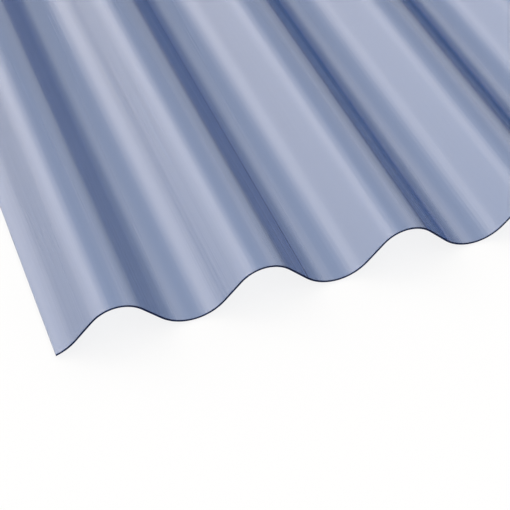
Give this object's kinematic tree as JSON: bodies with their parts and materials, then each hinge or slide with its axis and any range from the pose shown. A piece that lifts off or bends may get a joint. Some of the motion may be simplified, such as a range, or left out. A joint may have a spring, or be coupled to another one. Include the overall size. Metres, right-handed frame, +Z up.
{
  "type": "corrugated pvc sheet",
  "caption": "Clear tinted PVC roofing sheet with rounded lengthwise waves and square-cut edges, one piece of stock for roofing and cladding.",
  "frame": {"origin": "under the middle of the sheet, on the plane that the undersides of its troughs rest on", "axes": "+X across the waves, +Y along the waves and the sheet's length, +Z up, from the troughs towards the crests"},
  "size_m": [0.9, 2, 0.022],
  "materials": {
    "clear_pvc": "glossy extruded clear PVC with a blue-grey tint, darker where it is seen through a cut edge"
  },
  "bodies": {
    "root": {"corrugated_sheet": "clear_pvc"}
  },
  "joints": []
}
